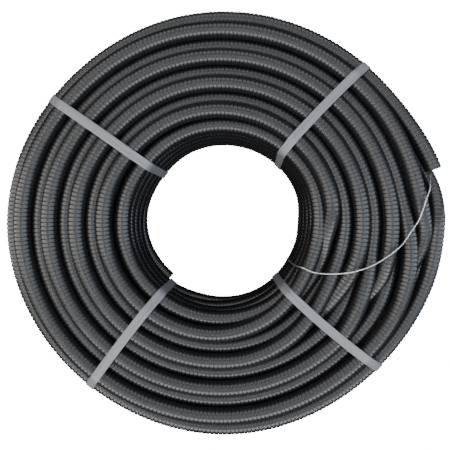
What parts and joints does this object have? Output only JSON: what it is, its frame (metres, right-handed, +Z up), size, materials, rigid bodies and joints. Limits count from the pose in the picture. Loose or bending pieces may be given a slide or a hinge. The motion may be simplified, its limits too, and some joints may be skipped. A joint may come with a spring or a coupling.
{
  "type": "corrugated hose coil",
  "caption": "Long black ribbed plastic hose wound in a flat coil, bound by four straps, with a steel draw wire led out of its outer end.",
  "frame": {"origin": "centre of the coil's axis at the undersides of the straps", "axes": "+Z up along the coil's axis, +X towards the side where the cut outer end lies, +Y towards the outer end's strap"},
  "size_m": [0.44, 0.428, 0.1001],
  "materials": {
    "hose_plastic": "satin",
    "strap_plastic": "satin",
    "wire_steel": "satin"
  },
  "bodies": {
    "root": {"hose_coil": "hose_plastic", "hose_outer_end": "hose_plastic", "hose_inner_end": "hose_plastic", "strap_upper_right": "strap_plastic", "strap_upper_left": "strap_plastic", "strap_lower_left": "strap_plastic", "strap_lower_right": "strap_plastic", "draw_wire": "wire_steel"}
  },
  "joints": []
}
